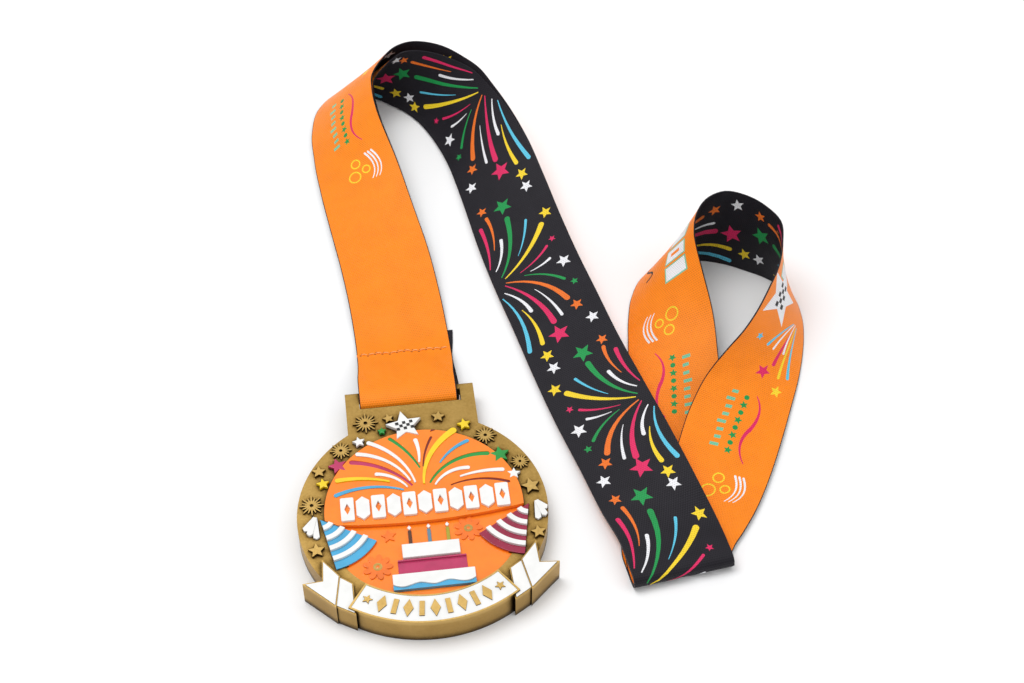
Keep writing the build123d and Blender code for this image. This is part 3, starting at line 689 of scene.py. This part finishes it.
def build_ribbon():
    rim, inner = grid_points()
    inks = list(INK)
    vertices, polygons, materials, normals, coords = [], [], [], [], []
    rims = []
    for printed, side, ground in (
        (orange_print(), 1, "orange_ground"),
        (black_print(), -1, "black_ground"),
    ):
        flat, triangles, chosen, ring = cut_sheet(printed, rim, inner)
        place, normal = on_strip(flat[:, 0], flat[:, 1])
        solid = place + normal * side * THICK / 2
        base = len(vertices)
        vertices += list(solid * MM)
        rims.append([base + k for k in ring])
        for triangle, ink in zip(triangles, chosen):
            order = list(triangle)
            centre = flat[order].mean(axis=0)
            if ink is None:
                ink = ground
                if side > 0 and not 0.2 < centre[1] < WIDTH - 0.2:
                    ink = "black_ground"
            corners = solid[order]
            facing = np.cross(corners[1] - corners[0], corners[2] - corners[0])
            if np.dot(facing, normal[order[0]] * side) < 0:
                order.reverse()
            polygons.append([base + k for k in order])
            materials.append(inks.index(ink))
            normals.append([tuple(normal[k] * side) for k in order])
            coords.append([tuple(flat[k]) for k in order])
    count = len(rims[0])
    for k in range(count):
        j = (k + 1) % count
        a, b, c, d = rims[0][k], rims[0][j], rims[1][j], rims[1][k]
        corners = np.array([vertices[i] for i in (a, b, c)])
        facing = np.cross(corners[1] - corners[0], corners[2] - corners[0])
        middle, _ = on_strip(rim[k][0], WIDTH / 2)
        outward = corners[0] - middle * MM
        order = [a, b, c, d]
        spots = [rim[k], rim[j], rim[j], rim[k]]
        if np.dot(facing, outward) < 0:
            order.reverse()
            spots.reverse()
        facing = facing / (np.linalg.norm(facing) or 1)
        if np.dot(facing, outward) < 0:
            facing = -facing
        polygons.append(order)
        materials.append(inks.index("black_ground"))
        normals.append([tuple(facing)] * 4)
        coords.append(spots)
    mesh = bpy.data.meshes.new("neck_ribbon")
    mesh.from_pydata([tuple(v) for v in vertices], [], polygons)
    mesh.polygons.foreach_set("material_index", materials)
    mesh.polygons.foreach_set("use_smooth", [True] * len(polygons))
    layer = mesh.uv_layers.new(name="strip")
    layer.data.foreach_set("uv", [x for face in coords for spot in face for x in spot])
    mesh.normals_split_custom_set([n for face in normals for n in face])
    for ink in inks:
        if ink == "black_ground":
            mesh.materials.append(woven("ribbon_" + ink, INK[ink], 0.5, 0.42, 0.0, 0.14))
        else:
            mesh.materials.append(woven("ribbon_" + ink, INK[ink]))
    ribbon = bpy.data.objects.new("neck_ribbon", mesh)
    bpy.context.scene.collection.objects.link(ribbon)
    return ribbon


ribbon = build_ribbon()
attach(ribbon, "ribbon")
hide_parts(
    "ribbon_slot_loop", "ribbon_rise", "ribbon_top_bend", "ribbon_diagonal", "ribbon_fold",
    "ribbon_right_strand", "ribbon_neck_back", "ribbon_left_strand",
)

# ------------------------------------------------------------------ the medal
GOLD = antique_gold("antique_gold_plating")
PAINT = {
    "orange_enamel": enamel("orange_enamel", linear(255, 134, 26), 0.92),
    "deep_orange_enamel": enamel("deep_orange_enamel", linear(246, 118, 24)),
    "white_enamel": enamel("white_enamel", linear(240, 240, 238), 0.94),
    "yellow_enamel": enamel("yellow_enamel", linear(244, 208, 20)),
    "blue_enamel": enamel("blue_enamel", linear(70, 170, 216)),
    "green_enamel": enamel("green_enamel", linear(30, 150, 60)),
    "pink_enamel": enamel("pink_enamel", linear(190, 48, 98)),
    "dark_red_enamel": enamel("dark_red_enamel", linear(122, 26, 16)),
    "brown_enamel": enamel("brown_enamel", linear(84, 44, 20)),
    "slate_enamel": enamel("slate_enamel", linear(96, 130, 150)),
    "olive_enamel": enamel("olive_enamel", linear(170, 160, 40)),
    "dark_print": enamel("dark_print", linear(22, 22, 24), 0.7, 0.3, 0.2),
}
OWN_PAINT = {"hat_right_stripes_recessed": enamel("deep_pink_enamel", linear(152, 22, 62))}
ROUNDED = {
    "medal_casting": 0.14,
    "ornament_band": 0.2,
    "cake_white_tiers": 0.16,
    "emblem_star": 0.18,
    "emblem_chequer": 0.02,
}


def soften(name, node, width):
    """Rounds a CAD piece's edges the way casting, plating and poured enamel do."""
    weld = node.modifiers.new("weld", "WELD")
    weld.merge_threshold = 0.000002
    if name != "ornament_band":
        flatten = node.modifiers.new("flatten", "DECIMATE")
        flatten.decimate_type = "DISSOLVE"
        flatten.angle_limit = math.radians(0.6)
    bevel = node.modifiers.new("soft_edges", "BEVEL")
    bevel.width = width * MM
    bevel.segments = 3
    bevel.limit_method = "ANGLE"
    bevel.angle_limit = math.radians(35)
    bevel.use_clamp_overlap = True
    bevel.harden_normals = False
    weighted = node.modifiers.new("even_shading", "WEIGHTED_NORMAL")
    weighted.keep_sharp = False
    weighted.weight = 80


slots = {row["node"]: row["material_slot"] for row in frame["record"]["subparts"]}
for name, node in nodes.items():
    if name.startswith("ribbon_") or name == "seam_stitches":
        continue
    node.data.materials.clear()
    if name == "medal_casting":
        node.data.materials.append(GOLD)
    else:
        node.data.materials.append(OWN_PAINT.get(name, PAINT[slots[name]]))
    soften(name, node, ROUNDED.get(name, 0.1))


# ------------------------------------------------------------------ the seam's stitches
TWIST_PITCH = 0.00022


def thread_material():
    n = Nodes("seam_thread")
    place = n.add("ShaderNodeTexCoord").outputs["Object"]
    split = n.add("ShaderNodeSeparateXYZ")
    n.link(place, split.inputs[0])
    slant = n.math("ADD", split.outputs["X"], split.outputs["Z"])
    twist = n.math("SINE", n.math("MULTIPLY", slant, 2 * math.pi / TWIST_PITCH))
    fuzz = n.noise(place, 4000.0, 2.0)
    tone = n.math("ADD", n.math("MULTIPLY", twist, 0.25), fuzz)
    colours = [(0.2, linear(222, 128, 50)), (0.6, linear(250, 178, 104)), (0.9, linear(255, 206, 146))]
    n.link(n.ramp(tone, colours), n.shader.inputs["Base Color"])
    n.bump(tone, 0.00004, 0.6)
    n.set(Roughness=0.6, Sheen_Weight=0.3)
    return n.material


def build_stitches():
    """Lockstitches across the seam: short threads that dive into the ribbon at both ends."""
    rows, around = 9, 8
    vertices, faces = [], []
    for k, off in enumerate(UNEVEN):
        v0 = 1.15 + k * STITCH_PITCH
        v1 = v0 + 1.66
        s0, s1 = SEAM_S + off, SEAM_S + UNEVEN[(k + 1) % len(UNEVEN)] * 0.6
        base = len(vertices)
        for i in range(rows):
            t = i / (rows - 1)
            s, v = s0 + (s1 - s0) * t, v0 + (v1 - v0) * t
            centre, normal = on_strip(s, v)
            ahead, _ = on_strip(s, v + 0.1)
            across = (ahead - centre) / np.linalg.norm(ahead - centre)
            third = np.cross(normal, across)
            lift = THICK / 2 - 0.1 + 0.3 * math.sin(math.pi * t) ** 0.6
            radius = 0.17 * (0.55 + 0.45 * math.sin(math.pi * t) ** 0.5)
            for j in range(around):
                angle = 2 * math.pi * j / around
                ring = centre + normal * (lift + radius * math.sin(angle)) + third * radius * math.cos(angle)
                vertices.append(tuple(ring * MM))
        for i in range(rows - 1):
            for j in range(around):
                a, b = base + i * around + j, base + i * around + (j + 1) % around
                faces.append((a, b, b + around, a + around))
        faces.append(tuple(base + j for j in reversed(range(around))))
        last = base + (rows - 1) * around
        faces.append(tuple(last + j for j in range(around)))
    mesh = bpy.data.meshes.new("seam_thread")
    mesh.from_pydata(vertices, [], faces)
    mesh.polygons.foreach_set("use_smooth", [True] * len(faces))
    mesh.materials.append(thread_material())
    thread = bpy.data.objects.new("seam_thread", mesh)
    bpy.context.scene.collection.objects.link(thread)
    return thread


thread = build_stitches()
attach(thread, "ribbon")
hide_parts("seam_stitches")


# ------------------------------------------------------------------ floor, light and camera
def floor_material():
    n = Nodes("pale_floor")
    place = n.add("ShaderNodeTexCoord").outputs["Object"]
    faint = n.noise(place, 6.0, 3.0)
    n.link(
        n.ramp(faint, [(0.3, linear(244, 244, 245)), (0.7, linear(250, 250, 250))]),
        n.shader.inputs["Base Color"],
    )
    n.set(Roughness=0.7, Specular_IOR_Level=0.15)
    return n.material


floor_mesh = bpy.data.meshes.new("floor")
floor_mesh.from_pydata([(-4, -4, 0), (4, -4, 0), (4, 4, 0), (-4, 4, 0)], [], [(0, 1, 2, 3)])
floor_mesh.materials.append(floor_material())
floor = bpy.data.objects.new("floor", floor_mesh)
bpy.context.scene.collection.objects.link(floor)
floor.location.z = -0.00002


def soft_light(name, place, aim, size, power):
    data = bpy.data.lights.new(name, "AREA")
    data.shape = "DISK"
    data.size = size
    data.energy = power
    light = bpy.data.objects.new(name, data)
    bpy.context.scene.collection.objects.link(light)
    light.location = place
    light.rotation_euler = (Vector(aim) - Vector(place)).to_track_quat("-Z", "Y").to_euler()


soft_light("key", (-0.25, 0.22, 0.85), (0.03, 0.05, 0), 0.55, 3.3)
soft_light("fill", (0.7, -0.25, 0.7), (0.03, 0.05, 0), 0.8, 1.1)
soft_light("top", (0.05, 0.1, 1.1), (0.05, 0.06, 0), 1.0, 2.1)
world = bpy.data.worlds.new("studio")
world.use_nodes = True
world.node_tree.nodes["Background"].inputs["Color"].default_value = (1, 1, 1, 1)
world.node_tree.nodes["Background"].inputs["Strength"].default_value = 0.62
bpy.context.scene.world = world

camera_data = bpy.data.cameras.new("camera")
camera_data.lens = 63.28
camera_data.sensor_width = 36.0
camera_data.clip_start = 0.01
camera = bpy.data.objects.new("camera", camera_data)
bpy.context.scene.collection.objects.link(camera)
camera.location = (-0.01135, -0.2627, 0.3583)
camera.rotation_euler = (math.radians(42.0), 0, math.radians(-7.2))
bpy.context.scene.camera = camera
bpy.context.scene.view_settings.view_transform = "Standard"
